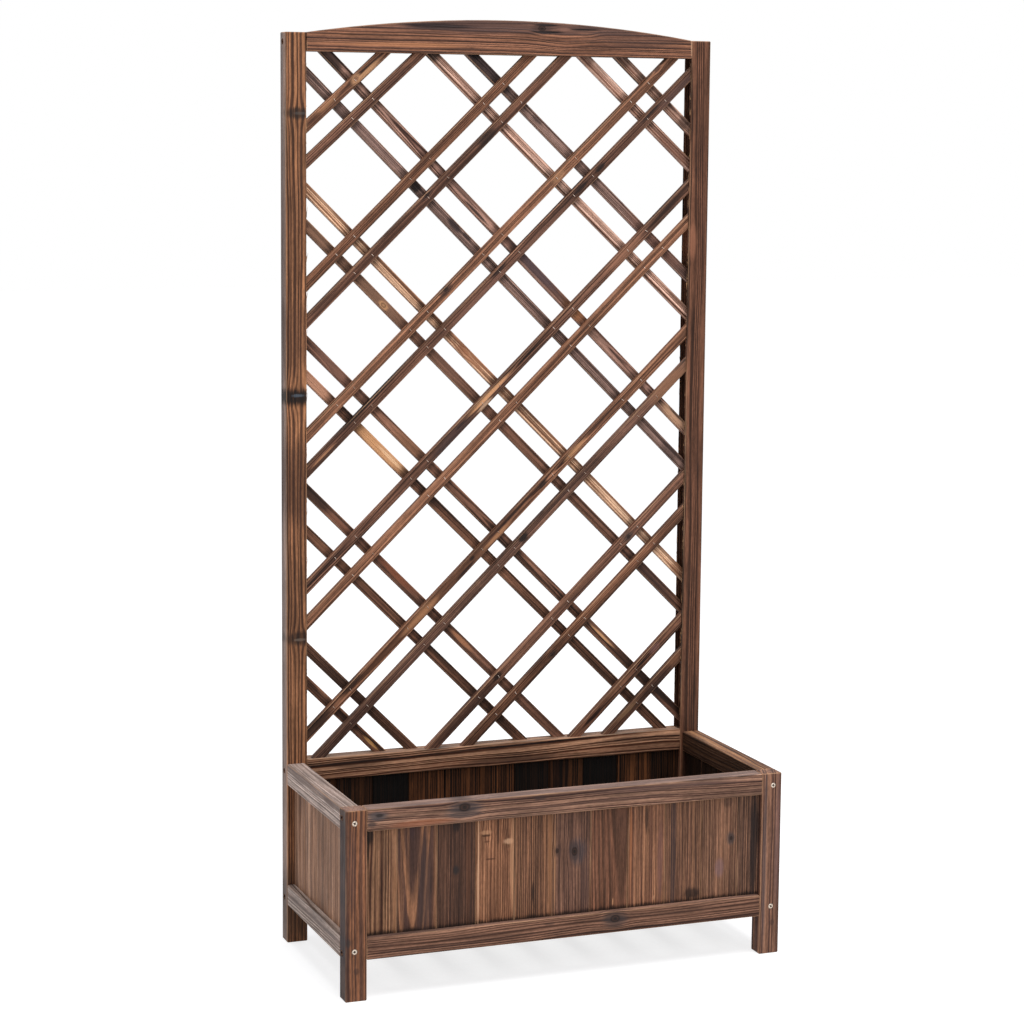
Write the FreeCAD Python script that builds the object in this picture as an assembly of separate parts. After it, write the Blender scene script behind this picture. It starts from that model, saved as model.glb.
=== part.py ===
import FreeCAD, Part
import math
import os

# A free-standing wooden planter box with a diagonal lattice trellis on its two tall rear posts.
# Millimetres, +Z up. The origin is on the floor, under the middle of the box. The front is -Y.

V = FreeCAD.Vector
os.makedirs("parts", exist_ok=True)

# ---- overall sizes -------------------------------------------------------------------------
width = 600.0              # over the outer faces of the posts
depth = 280.0              # front face of the front posts to back face of the rear posts
rear_post_h = 1200.0
front_post_h = 244.0       # also the top of the front and side top rails

# ---- stock ---------------------------------------------------------------------------------
post_w = 28.0              # along X
post_t = 24.0              # along Y
rail_t = 24.0
rail_h = 28.0
rear_rail_h = 30.0         # rear top rail, which the trellis stands on
rear_rail_rise = 4.0       # how far the rear top rail stands above the other rails
low_rail_z = 52.0          # underside of the bottom rails
ease = 1.6                 # rounding of the edges of posts and rails

arch_end_h = 24.0          # height of the arched rail where it meets the posts
arch_rise = 21.0           # height of its crown above its ends
arch_proud = 1.5           # arched rail in front of the posts, flush with their backs

# ---- wall boards ---------------------------------------------------------------------------
board_t = 8.0
board_recess = 9.5         # outer face of the boards behind the outer face of the rails
front_pitch = 52.4
rear_pitch = 51.1
side_pitch = 52.4
front_first_seam = 42.1    # first seam, from the left post
rear_first_seam = 41.9
side_first_seam = 26.4     # first seam, from the front post
vee = 1.3                  # chamfer along the edges of a board
tongue_t = 2.8
tongue_l = 4.0
joint_gap = 0.25           # clearance of tongues and of boards in grooves
groove_depth = 6.0

# ---- lattice -------------------------------------------------------------------------------
slat_w = 13.0
slat_t = 9.0
slat_ease = 0.9
slat_angle = 44.25         # degrees from the horizontal
pair_pitch = 143.4         # aimed at from one pair of slats to the next, square to the slats
pair_spacing = 34.8        # between the two slats of a pair
corner_space = 92.0        # from the middle of the outermost pair to the corner of the opening
lattice_lift = 3.4         # middle of the pattern above the middle of the opening

# The slats were laid by hand, so they lie a little off the even pattern. From the lowest pair up:
# how far each pair is turned, in degrees, and how far its lower and upper slats are shifted.
front_turns = [0.0, -0.2, -0.2, -0.2, -0.3, -0.2, -1.9]
front_shifts = [(-1.5, -1.0), (0.0, 0.5), (3.0, 1.5), (1.0, 0.5), (1.0, 0.0), (-0.5, -0.5), (1.5, 0.5)]
rear_turns = [-0.7, -0.5, -0.3, -0.2, 0.0, 1.4, 2.0]
rear_shifts = [(-3.0, -5.5), (-2.5, 2.0), (1.0, -1.5), (-1.5, -2.5), (-3.0, 0.0), (-0.5, 2.5), (4.0, 5.0)]

# ---- floor of the box ----------------------------------------------------------------------
floor_t = 9.0
floor_board_w = 50.0
floor_gap_min = 5.0
floor_clear = 1.0          # between the floor boards and the rails
cleat_h = 18.0
cleat_t = 15.0

# ---- fixings -------------------------------------------------------------------------------
head_d = 7.6
head_h = 2.4
shank_d = 4.0
screw_l = 45.0             # under the head
tip_l = 5.0
recess_w = 1.1             # arms of the cross recess
recess_span = 4.2
recess_depth = 1.5
bore_clear = 0.1           # round the shank and the head
cross_sink = 2.6           # how deep the heads lie in the posts' side faces
face_top_drop = 16.5       # screws through front and back faces, below the top of the side rails
face_low_rise = 12.0       # the same, above the underside of the bottom rails
cross_top_drop = 12.0      # screws through the side faces
cross_low_rise = 7.5
front_cross_inset = 15.5   # screws through the side faces, from the front face
rear_cross_inset = 10.5    # the same, from the back face
staple_crown = 4.0
staple_wire = 0.6
staple_band = 1.0
staple_leg = 12.0
staple_clear = 0.05

# ---- places worked out from the sizes ------------------------------------------------------
x_out = width / 2
x_in = x_out - post_w
y_front = -depth / 2
y_back = depth / 2
y_front_in = y_front + post_t
y_back_in = y_back - post_t
side_in = x_out - rail_t
top_z = front_post_h
top_rail_z = top_z - rail_h
low_rail_top = low_rail_z + rail_h
rear_rail_top = top_z + rear_rail_rise
rear_rail_z = rear_rail_top - rear_rail_h
arch_z = rear_post_h - arch_end_h
groove_w = board_t + 2 * joint_gap
lattice_t = 2 * slat_t
lattice_front = y_back_in + (post_t - lattice_t) / 2
lattice_mid_y = lattice_front + slat_t


def save(name, solids):
    """Writes one node. Several solids make a group."""
    shape = solids[0]
    if len(solids) > 1:
        shape = Part.makeCompound(solids)
    shape.exportStep("parts/" + name + ".step")


def block(x0, x1, y0, y1, z0, z1):
    return Part.makeBox(x1 - x0, y1 - y0, z1 - z0, V(x0, y0, z0))


def eased(shape, radius):
    return shape.makeFillet(radius, shape.Edges)


def mirrored(shape):
    """The right-hand copy of a left-hand piece."""
    return shape.mirror(V(0, 0, 0), V(1, 0, 0))


def prism(points, along):
    """A closed outline moved along a vector."""
    return Part.Face(Part.makePolygon(points + points[:1])).extrude(along)


# ---- screws --------------------------------------------------------------------------------
# Round-headed wood screws with a cross recess, all alike. Each is a head place on a post's face,
# a direction into the wood, and how deep the head is sunk.

face_levels = [top_z - face_top_drop, low_rail_z + face_low_rise]
cross_levels = [top_z - cross_top_drop, low_rail_z + cross_low_rise]
side_rail_mid = x_out - rail_t / 2
front_cross_y = y_front + front_cross_inset
rear_cross_y = y_back - rear_cross_inset

screw_places = []
for side in (-1, 1):
    into_x = V(-side, 0, 0)
    for z in face_levels:
        screw_places.append((V(side * side_rail_mid, y_front, z), V(0, 1, 0), 0.0))
        screw_places.append((V(side * side_rail_mid, y_back, z), V(0, -1, 0), 0.0))
    for z in cross_levels:
        screw_places.append((V(side * x_out, front_cross_y, z), into_x, cross_sink))
        screw_places.append((V(side * x_out, rear_cross_y, z), into_x, cross_sink))
    arch_level = arch_z + arch_end_h / 2
    screw_places.append((V(side * x_out, rear_cross_y, arch_level), into_x, cross_sink))


def screw(place, into, sink):
    top = place + into * sink
    under = top + into * head_h
    head = Part.makeCylinder(head_d / 2, head_h, top, into)
    rim = [edge for edge in head.Edges if (edge.CenterOfMass - top).Length < head_h / 2]
    head = head.makeFillet(head_h * 0.45, rim)
    shank = Part.makeCylinder(shank_d / 2, screw_l - tip_l, under, into)
    tip = Part.makeCone(shank_d / 2, shank_d / 8, tip_l, under + into * (screw_l - tip_l), into)
    arm = block(-recess_span / 2, recess_span / 2, -recess_w / 2, recess_w / 2, 0, recess_depth)
    other_arm = arm.copy()
    other_arm.rotate(V(0, 0, 0), V(0, 0, 1), 90)
    recess = arm.fuse(other_arm)
    recess.Placement = FreeCAD.Placement(top, FreeCAD.Rotation(V(0, 0, 1), into))
    return head.fuse([shank, tip]).removeSplitter().cut(recess)


def screw_bore(place, into, sink):
    """The hole for one screw: wide for its head, narrow for its shank."""
    head_hole_l = sink + head_h
    head_hole = Part.makeCylinder(head_d / 2 + bore_clear, head_hole_l, place, into)
    shank_hole_l = screw_l + bore_clear
    shank_start = place + into * head_hole_l
    shank_hole = Part.makeCylinder(shank_d / 2 + bore_clear, shank_hole_l, shank_start, into)
    return head_hole.fuse(shank_hole)


bores = [screw_bore(*place) for place in screw_places]
save("frame_screws", [screw(*place) for place in screw_places])

# ---- posts ---------------------------------------------------------------------------------
# Each post has a groove in its inner side for the front or rear boards, and one for the side
# boards. Both stop at the feet of the boards, so the legs stay whole. The rear posts have a wide
# groove above the box for the lattice.

board_groove_foot = low_rail_top - groove_depth
board_groove_top = top_rail_z + groove_depth
front_boards_y = y_front + board_recess
rear_boards_y = y_back - board_recess - board_t
side_boards_x = -x_out + board_recess

side_groove_x0 = side_boards_x - joint_gap
side_groove_x1 = side_groove_x0 + groove_w


def wall_groove(boards_y, top):
    """Groove in the inner side of a left post, for the boards of the front or rear wall."""
    y0 = boards_y - joint_gap
    return block(-x_in - groove_depth, -x_in, y0, y0 + groove_w, board_groove_foot, top)


def side_wall_groove(y0, y1):
    """Groove in the front or rear side of a left post, for the boards of the side wall."""
    return block(side_groove_x0, side_groove_x1, y0, y1, board_groove_foot, board_groove_top)


front_post = eased(block(-x_out, -x_in, y_front, y_front_in, 0, front_post_h), ease)
front_side_groove = side_wall_groove(y_front_in - groove_depth, y_front_in)
front_post = front_post.cut([wall_groove(front_boards_y, board_groove_top), front_side_groove])
front_post = front_post.cut(bores)
save("front_left_post", [front_post])
save("front_right_post", [mirrored(front_post)])

rear_post = eased(block(-x_out, -x_in, y_back_in, y_back, 0, rear_post_h), ease)
rear_side_groove = side_wall_groove(y_back_in, y_back_in + groove_depth)
lattice_groove = block(
    -x_in - groove_depth,
    -x_in,
    lattice_front - joint_gap,
    lattice_front + lattice_t + joint_gap,
    rear_rail_top,
    arch_z + groove_depth,
)
rear_wall_groove = wall_groove(rear_boards_y, rear_rail_z + groove_depth)
rear_post = rear_post.cut([rear_wall_groove, rear_side_groove, lattice_groove])
rear_post = rear_post.cut(bores)
save("rear_left_post", [rear_post])
save("rear_right_post", [mirrored(rear_post)])

# ---- rails ---------------------------------------------------------------------------------
# Every rail butts between two posts. The edge that faces the wall boards is grooved for them.


def cross_rail(y0, z0, height, boards_y, groove_up):
    """A rail along X between the left and right posts."""
    rail = eased(block(-x_in, x_in, y0, y0 + rail_t, z0, z0 + height), ease)
    groove_y = boards_y - joint_gap
    groove_z = z0
    if groove_up:
        groove_z = z0 + height - groove_depth
    groove = block(-x_in, x_in, groove_y, groove_y + groove_w, groove_z, groove_z + groove_depth)
    return rail.cut(groove).cut(bores)


def left_rail(z0, groove_up):
    """A rail along Y between a front and a rear post."""
    rail = eased(block(-x_out, -side_in, y_front_in, y_back_in, z0, z0 + rail_h), ease)
    groove_z = z0
    if groove_up:
        groove_z = z0 + rail_h - groove_depth
    groove = block(
        side_groove_x0, side_groove_x1, y_front_in, y_back_in, groove_z, groove_z + groove_depth
    )
    return rail.cut(groove).cut(bores)


save("front_top_rail", [cross_rail(y_front, top_rail_z, rail_h, front_boards_y, False)])
save("front_bottom_rail", [cross_rail(y_front, low_rail_z, rail_h, front_boards_y, True)])
rear_rail_y = y_back - rail_t
save("rear_top_rail", [cross_rail(rear_rail_y, rear_rail_z, rear_rail_h, rear_boards_y, False)])
save("rear_bottom_rail", [cross_rail(rear_rail_y, low_rail_z, rail_h, rear_boards_y, True)])
left_top_rail = left_rail(top_rail_z, False)
left_bottom_rail = left_rail(low_rail_z, True)
save("left_top_rail", [left_top_rail])
save("left_bottom_rail", [left_bottom_rail])
save("right_top_rail", [mirrored(left_top_rail)])
save("right_bottom_rail", [mirrored(left_bottom_rail)])

# ---- arched rail ---------------------------------------------------------------------------
# Flat underneath, with a circular arch on top and a groove below for the upper slat ends.

arch_y = y_back_in - arch_proud
arch_t = post_t + arch_proud
arch_shoulder = arch_z + arch_end_h
arch_points = [V(x_in, arch_y, arch_z), V(-x_in, arch_y, arch_z), V(-x_in, arch_y, arch_shoulder)]
arch_foot = Part.makePolygon([V(x_in, arch_y, arch_shoulder)] + arch_points)
arch_crown = V(0, arch_y, arch_shoulder + arch_rise)
arch_top = Part.Arc(arch_points[2], arch_crown, V(x_in, arch_y, arch_shoulder)).toShape()
arch_outline = Part.Wire(arch_foot.Edges + [arch_top])
arch_rail = eased(Part.Face(arch_outline).extrude(V(0, arch_t, 0)), ease)
arch_groove = block(
    -x_in,
    x_in,
    lattice_front - joint_gap,
    lattice_front + lattice_t + joint_gap,
    arch_z,
    arch_z + groove_depth,
)
save("arch_rail", [arch_rail.cut(arch_groove).cut(bores)])

# ---- wall boards ---------------------------------------------------------------------------
# Tongue-and-groove boards with chamfered edges, standing in the grooves of rails and posts.


def wall_spans(start, end, first_seam, pitch):
    """The face of each board from one end of a wall to the other. End boards are cut narrow."""
    seams = []
    seam = start + first_seam
    while seam < end - tongue_l:
        seams.append(seam)
        seam += pitch
    edges = [start - groove_depth + joint_gap] + seams + [end + groove_depth - joint_gap]
    return list(zip(edges[:-1], edges[1:]))


def board_outline(a, b, first, last):
    """Section of one board: along the wall from a to b, and 0 to board_t through it."""
    mid = board_t / 2
    half = tongue_t / 2
    slot = half + joint_gap
    slot_l = tongue_l + joint_gap
    low_a = [(a, 0), (a, board_t)]
    if not first:
        low_a = [
            (a + vee, 0), (a, vee), (a, mid - slot), (a + slot_l, mid - slot),
            (a + slot_l, mid + slot), (a, mid + slot), (a, board_t - vee), (a + vee, board_t),
        ]
    high_b = [(b, board_t), (b, 0)]
    if not last:
        high_b = [
            (b - vee, board_t), (b, board_t - vee), (b, mid + half), (b + tongue_l, mid + half),
            (b + tongue_l, mid - half), (b, mid - half), (b, vee), (b - vee, 0),
        ]
    return low_a + high_b


def wall_boards(spans, to_point, rise):
    """Boards of one wall, stood up from section points in the wall's own plane."""
    boards = []
    for number, (a, b) in enumerate(spans):
        outline = board_outline(a, b, number == 0, number == len(spans) - 1)
        boards.append(prism([to_point(u, v) for u, v in outline], V(0, 0, rise)))
    return boards


seat = groove_depth - joint_gap
boards_z = low_rail_top - seat
front_rise = top_rail_z + seat - boards_z
rear_rise = rear_rail_z + seat - boards_z
front_spans = wall_spans(-x_in, x_in, front_first_seam, front_pitch)
rear_spans = wall_spans(-x_in, x_in, rear_first_seam, rear_pitch)
side_spans = wall_spans(y_front_in, y_back_in, side_first_seam, side_pitch)

front_boards = wall_boards(front_spans, lambda u, v: V(u, front_boards_y + v, boards_z), front_rise)
for number, board in enumerate(front_boards):
    save("front_board_%02d" % (number + 1), [board])
rear_boards = wall_boards(rear_spans, lambda u, v: V(u, rear_boards_y + v, boards_z), rear_rise)
save("rear_boards", rear_boards)
left_boards = wall_boards(side_spans, lambda u, v: V(side_boards_x + v, u, boards_z), front_rise)
save("left_boards", left_boards)
save("right_boards", [mirrored(board) for board in left_boards])

# ---- floor ---------------------------------------------------------------------------------
# Two cleats glued to the inner faces of the front and rear bottom rails carry loose boards, with
# gaps between them to let water out. The boards lie level with the top of the bottom rails.

cleat_top = low_rail_top - floor_t
cleat_z = cleat_top - cleat_h
cleat_end = min(side_in, x_in) - floor_clear
front_cleat_y = y_front + rail_t
rear_cleat_y = y_back - rail_t - cleat_t
for name, y0 in (("front_floor_cleat", front_cleat_y), ("rear_floor_cleat", rear_cleat_y)):
    save(name, [block(-cleat_end, cleat_end, y0, y0 + cleat_t, cleat_z, cleat_top)])

floor_span = 2 * cleat_end
floor_count = int((floor_span + floor_gap_min) / (floor_board_w + floor_gap_min))
floor_step = (floor_span - floor_board_w) / (floor_count - 1)
floor_y0 = front_cleat_y + floor_clear
floor_y1 = y_back - rail_t - floor_clear
floor_boards = []
for number in range(floor_count):
    x0 = -cleat_end + number * floor_step
    floor_boards.append(block(x0, x0 + floor_board_w, floor_y0, floor_y1, cleat_top, low_rail_top))
save("floor_boards", floor_boards)

# ---- lattice -------------------------------------------------------------------------------
# Two layers of slats in pairs: the front layer rises to the right, the rear layer to the left.
# Their ends lie in the grooves of the posts and the arched rail, and stand on the rear top rail.

lattice_mid_z = (rear_rail_top + arch_z) / 2 + lattice_lift
opening_h = arch_z - rear_rail_top
slat_reach = math.hypot(width, rear_post_h)
lattice_room = block(
    -x_in - seat, x_in + seat, lattice_front, lattice_front + lattice_t, rear_rail_top, arch_z + seat
)


def slat_places(lean, turns, shifts):
    """Middle of each slat of a layer, as X and Z, and its angle from X. lean is 1 or -1."""
    across = math.cos(math.radians(slat_angle))
    upward = lean * math.sin(math.radians(slat_angle))
    reach = x_in * abs(upward) + opening_h / 2 * across
    steps = max(1, round((reach - corner_space) / pair_pitch))
    pitch = (reach - corner_space) / steps
    places = []
    for number in range(2 * steps + 1):
        turn = turns[number % len(turns)]
        pair_shifts = shifts[number % len(shifts)]
        for side, shift in zip((-0.5, 0.5), pair_shifts):
            offset = (number - steps) * pitch + side * pair_spacing
            x = -upward * offset
            z = across * offset + lattice_mid_z
            run_x = sorted([(-x_in - x) / across, (x_in - x) / across])
            run_z = sorted([(rear_rail_top - z) / upward, (arch_z - z) / upward])
            middle = (max(run_x[0], run_z[0]) + min(run_x[1], run_z[1])) / 2
            x += across * middle - upward * shift
            z += upward * middle + across * shift
            places.append((x, z, lean * slat_angle + turn))
    return places


def slat(place, y0):
    """One slat, cut off at the walls of the grooves that hold its ends."""
    x, z, angle = place
    half = slat_w / 2
    outline = [
        (0, -half + slat_ease), (slat_ease, -half), (slat_t - slat_ease, -half),
        (slat_t, -half + slat_ease), (slat_t, half - slat_ease), (slat_t - slat_ease, half),
        (slat_ease, half), (0, half - slat_ease),
    ]
    bar = prism([V(-slat_reach, v, u) for v, u in outline], V(2 * slat_reach, 0, 0))
    bar.rotate(V(0, 0, 0), V(0, 1, 0), -angle)
    bar.translate(V(x, y0, z))
    return bar.common(lattice_room)


def crossing(front_place, rear_place):
    """Where two slats cross, as X and Z."""
    x, z, angle = front_place
    other_x, other_z, other_angle = rear_place
    along = V(math.cos(math.radians(angle)), 0, math.sin(math.radians(angle)))
    other = V(math.cos(math.radians(other_angle)), 0, math.sin(math.radians(other_angle)))
    apart = V(other_x - x, 0, other_z - z)
    step = apart.cross(other).y / along.cross(other).y
    return x + step * along.x, z + step * along.z


def staple_shape(grow, angle):
    """One staple, its crown across a front slat. With grow it is the slot that it sits in."""
    half = staple_crown / 2 + grow
    inner = staple_crown / 2 - staple_wire - grow
    under = -grow
    tip = staple_leg + grow
    points = [
        (-half, -staple_wire), (half, -staple_wire), (half, tip), (inner, tip),
        (inner, under), (-inner, under), (-inner, tip), (-half, tip),
    ]
    band = staple_band + 2 * grow
    shape = prism([V(u, v, -band / 2) for u, v in points], V(0, 0, band))
    shape.rotate(V(0, 0, 0), V(0, 1, 0), -angle - 90)
    return shape


front_places = slat_places(1, front_turns, front_shifts)
rear_places = slat_places(-1, rear_turns, rear_shifts)
front_slots = [[] for place in front_places]
rear_slots = [[] for place in rear_places]
staples = []
for front_number, front_place in enumerate(front_places):
    for rear_number, rear_place in enumerate(rear_places):
        x, z = crossing(front_place, rear_place)
        inside_z = rear_rail_top + slat_w < z < arch_z - slat_w
        if abs(x) < x_in - slat_w and inside_z:
            spot = V(x, lattice_front, z)
            slot = staple_shape(staple_clear, front_place[2]).translated(spot)
            front_slots[front_number].append(slot)
            rear_slots[rear_number].append(slot)
            staples.append(staple_shape(0.0, front_place[2]).translated(spot))
save("lattice_staples", staples)

for name, places, slots, y0 in (
    ("lattice_front_slat", front_places, front_slots, lattice_front),
    ("lattice_rear_slat", rear_places, rear_slots, lattice_mid_y),
):
    for number, place in enumerate(places):
        bar = slat(place, y0)
        if slots[number]:
            bar = bar.cut(slots[number])
        save("%s_%02d" % (name, number + 1), [bar])
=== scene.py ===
import math

import bmesh
import bpy
from mathutils import Matrix, Vector


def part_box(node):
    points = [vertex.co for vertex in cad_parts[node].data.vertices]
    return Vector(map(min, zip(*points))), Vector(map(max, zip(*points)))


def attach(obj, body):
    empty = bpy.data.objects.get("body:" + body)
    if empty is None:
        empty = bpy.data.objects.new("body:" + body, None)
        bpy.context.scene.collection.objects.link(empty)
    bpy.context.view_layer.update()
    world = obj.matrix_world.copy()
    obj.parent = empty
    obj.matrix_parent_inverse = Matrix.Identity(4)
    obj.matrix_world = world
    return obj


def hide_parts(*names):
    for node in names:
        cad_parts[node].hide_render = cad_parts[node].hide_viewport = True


# A planter box with a lattice trellis, in charred and brushed fir. Metres, +Z up, the front is -Y.

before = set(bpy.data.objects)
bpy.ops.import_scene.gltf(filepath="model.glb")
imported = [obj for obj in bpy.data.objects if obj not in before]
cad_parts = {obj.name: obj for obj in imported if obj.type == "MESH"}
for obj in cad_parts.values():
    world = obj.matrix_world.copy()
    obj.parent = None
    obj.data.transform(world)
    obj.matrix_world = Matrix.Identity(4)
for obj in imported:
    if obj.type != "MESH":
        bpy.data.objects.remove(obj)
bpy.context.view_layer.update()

# ---- Studio ----
# A white cove: a pale floor that runs to white and keeps a soft shadow, even light from all round
# and one broad soft lamp, and the camera at the photograph's height and angle.

X = Vector((1, 0, 0))
Y = Vector((0, 1, 0))
Z = Vector((0, 0, 1))

CAMERA_PLACE = Vector((-1.23924, -3.10793, 1.07627))
CAMERA_YAW = 0.3711
CAMERA_PITCH = -0.1266
CAMERA_ROLL = 0.0087
LENS_MM = 91.05
SENSOR_MM = 36.0
LENS_SHIFT = -0.0498


def linear(code, alpha=1.0):
    """An sRGB colour such as "8a5f44" as linear red, green, blue and alpha."""
    parts = [int(code[i:i + 2], 16) / 255 for i in (0, 2, 4)]
    straight = [p / 12.92 if p <= 0.04045 else ((p + 0.055) / 1.055) ** 2.4 for p in parts]
    return (*straight, alpha)


def add(tree, kind, inputs=(), operation=None, **settings):
    """Adds a node with its settings and links. Where kind has no "Node" in it, "ShaderNode" is meant.

    The inputs are a tuple in the node's order, or a dict by name or number, where 6 and 7 are a
    Mix node's colours. Each is a value, a socket, a node for its first output in use, or a list.
    """
    made = tree.nodes.new(kind if "Node" in kind else "ShaderNode" + kind)
    if operation:
        made.operation = operation
    for key, value in settings.items():
        setattr(made, key, value)
    for key, values in inputs.items() if isinstance(inputs, dict) else enumerate(inputs):
        for value in values if isinstance(values, list) else [values]:
            if isinstance(value, bpy.types.Node):
                value = next(socket for socket in value.outputs if socket.enabled)
            if isinstance(value, bpy.types.NodeSocket):
                tree.links.new(value, made.inputs[key])
            else:
                made.inputs[key].default_value = value
    return made


def new_finish(name):
    """A new material and its empty tree."""
    finish = bpy.data.materials.new(name)
    finish.use_nodes = True
    finish.node_tree.nodes.clear()
    return finish, finish.node_tree


def show(name, data):
    """A new object in the scene, at the origin."""
    made = bpy.data.objects.new(name, data)
    bpy.context.scene.collection.objects.link(made)
    return made


ahead = Vector((
    math.sin(CAMERA_YAW) * math.cos(CAMERA_PITCH),
    math.cos(CAMERA_YAW) * math.cos(CAMERA_PITCH),
    math.sin(CAMERA_PITCH),
))
level = Vector((math.cos(CAMERA_YAW), -math.sin(CAMERA_YAW), 0))
upright = level.cross(ahead)
right = level * math.cos(CAMERA_ROLL) + upright * math.sin(CAMERA_ROLL)
up = upright * math.cos(CAMERA_ROLL) - level * math.sin(CAMERA_ROLL)
camera = show("camera", bpy.data.cameras.new("camera"))
camera.data.sensor_width = SENSOR_MM
camera.data.lens = LENS_MM
camera.data.shift_y = LENS_SHIFT
camera.data.clip_end = 50
turned = Matrix((right, up, -ahead)).transposed().to_4x4()
camera.matrix_world = Matrix.Translation(CAMERA_PLACE) @ turned
bpy.context.scene.camera = camera
bpy.context.scene.view_settings.view_transform = "Standard"

SEEN_DIRECTLY = ("Is Camera Ray", "Is Glossy Ray", "Is Transmission Ray")


def seen_share(tree):
    """1 for what the camera sees, also in metal and through glass, and 0 for the light itself."""
    ray = add(tree, "LightPath")
    share = ray.outputs[SEEN_DIRECTLY[0]]
    for kind in SEEN_DIRECTLY[1:]:
        share = add(tree, "Math", (share, ray.outputs[kind]), "MAXIMUM")
    return share


world = bpy.data.worlds.new("white_cove")
bpy.context.scene.world = world
world.use_nodes = True
sky = world.node_tree
sky.nodes.clear()
lit = add(sky, "Background", {"Color": linear("f8f9ff"), "Strength": 0.62})
white = add(sky, "Background", {"Color": (1, 1, 1, 1), "Strength": 1.0})
sky_mix = add(sky, "MixShader", (seen_share(sky), lit, white))
add(sky, "OutputWorld", {"Surface": sky_mix})


def soft_lamp(name, place, aim, size, power):
    """A round soft lamp, with its place and size in metres and its power in watts."""
    data = bpy.data.lights.new(name, "AREA")
    data.shape = "DISK"
    data.size = size
    data.energy = power
    lamp = show(name, data)
    turn = (Vector(aim) - Vector(place)).to_track_quat("-Z", "Y").to_matrix().to_4x4()
    lamp.matrix_world = Matrix.Translation(place) @ turn


soft_lamp("softbox_above", (0.2, -0.9, 3.9), (0, 0, 0.4), 2.4, 105)
soft_lamp("softbox_front", (0.9, -3.4, 2.0), (0, 0, 0.6), 2.0, 22)

FLOOR_HALF = 14.0
floor_mesh = bpy.data.meshes.new("floor")
floor_corners = [(x * FLOOR_HALF, y * FLOOR_HALF, 0) for x, y in ((-1, -1), (1, -1), (1, 1), (-1, 1))]
floor_mesh.from_pydata(floor_corners, [], [(0, 1, 2, 3)])
studio_floor = show("studio_floor", floor_mesh)

# Matt white background paper. It glows a little for the camera only, so that it runs to white and
# the shadow stays faint, and it gives no light of its own to the wood.
cove, paper = new_finish("white_paper_floor")
paper_matt = add(paper, "BsdfDiffuse", {"Color": linear("e8e8e8")})
paper_shown = add(paper, "BsdfDiffuse", {"Color": linear("b4b4b4")})
paper_glow = add(paper, "Emission", {"Color": (1, 1, 1, 1), "Strength": 0.74})
paper_lift = add(paper, "AddShader", (paper_shown, paper_glow))
paper_mix = add(paper, "MixShader", (seen_share(paper), paper_matt, paper_lift))
add(paper, "OutputMaterial", {"Surface": paper_mix})
floor_mesh.materials.append(cove)

# ---- Rear posts ----
# Two full-height posts, sawn from fir, charred with a flame and wire-brushed. The brush takes the
# soft early wood and leaves the hard late wood as dark ridges; knots char black.

MM = 0.001
WORN = "b9906f"            # bare wood where an edge was rubbed
KNOT_SOOT = "2a2120"       # the flame's halo round a knot
KNOT_STOPS = ((0.0, "0d0a09"), (0.32, "1e1512"), (0.52, "3d2820"), (0.72, "150f0d"), (0.92, "2e201b"))

# Each pattern's length and width in mm. Real fibres are finer than 1.2 mm, and are drawn that
# coarse so that they show.
SWAY = (300, 40)
WOBBLE = (36, 9)
STREAKS = (260, 6)
FIBRES = (55, 1.2)
FLECKS = (7, 1.4)
FLAME = (110, 15)
TIDE = (90, 22)
PARTED = (0.30, 0.50)      # a knot's radius by how far it parts the grain, along and across
PINCH = 0.75               # how far the grain is drawn in toward a knot's middle line
HALO = (3.6, 2.0)          # the flame's halo round a knot, along and across, in radii
KNOT_LENGTH = 0.7          # a knot's width by its length
MARK_EDGE = (1.2, 0.5)     # where a mark starts and where it is full, by its own size
BOARD_JUMP = 37.3          # how far along the pattern the next board of the same node starts
RELIEF = 0.6 * MM          # how far the late wood stands proud
EDGE_FACING = (0.985, 0.86)     # the normal's part along the nearest side, from flat to an edge


def grain_noise(tree, place, size, shift, detail, roughness=0.5):
    """A noise drawn out along the grain."""
    length, width = size
    drawn = add(tree, "VectorMath", (place, (1 / length, 1 / width, 1 / width), shift), "MULTIPLY_ADD")
    return add(tree, "TexNoise", {
        "Vector": drawn, "Scale": 1.0, "Detail": detail, "Roughness": roughness})


def away_from(tree, spot, u, w, half_long, half_wide):
    """How far a spot lies from (u, w) on the face, where 1 is the edge of an oval of that size."""
    off = add(tree, "VectorMath", (spot, (u, 0, w)), "SUBTRACT")
    off = add(tree, "VectorMath", (off, (1 / half_long, 0, 1 / half_wide)), "MULTIPLY")
    return add(tree, "VectorMath", (off,), "LENGTH")


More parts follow.
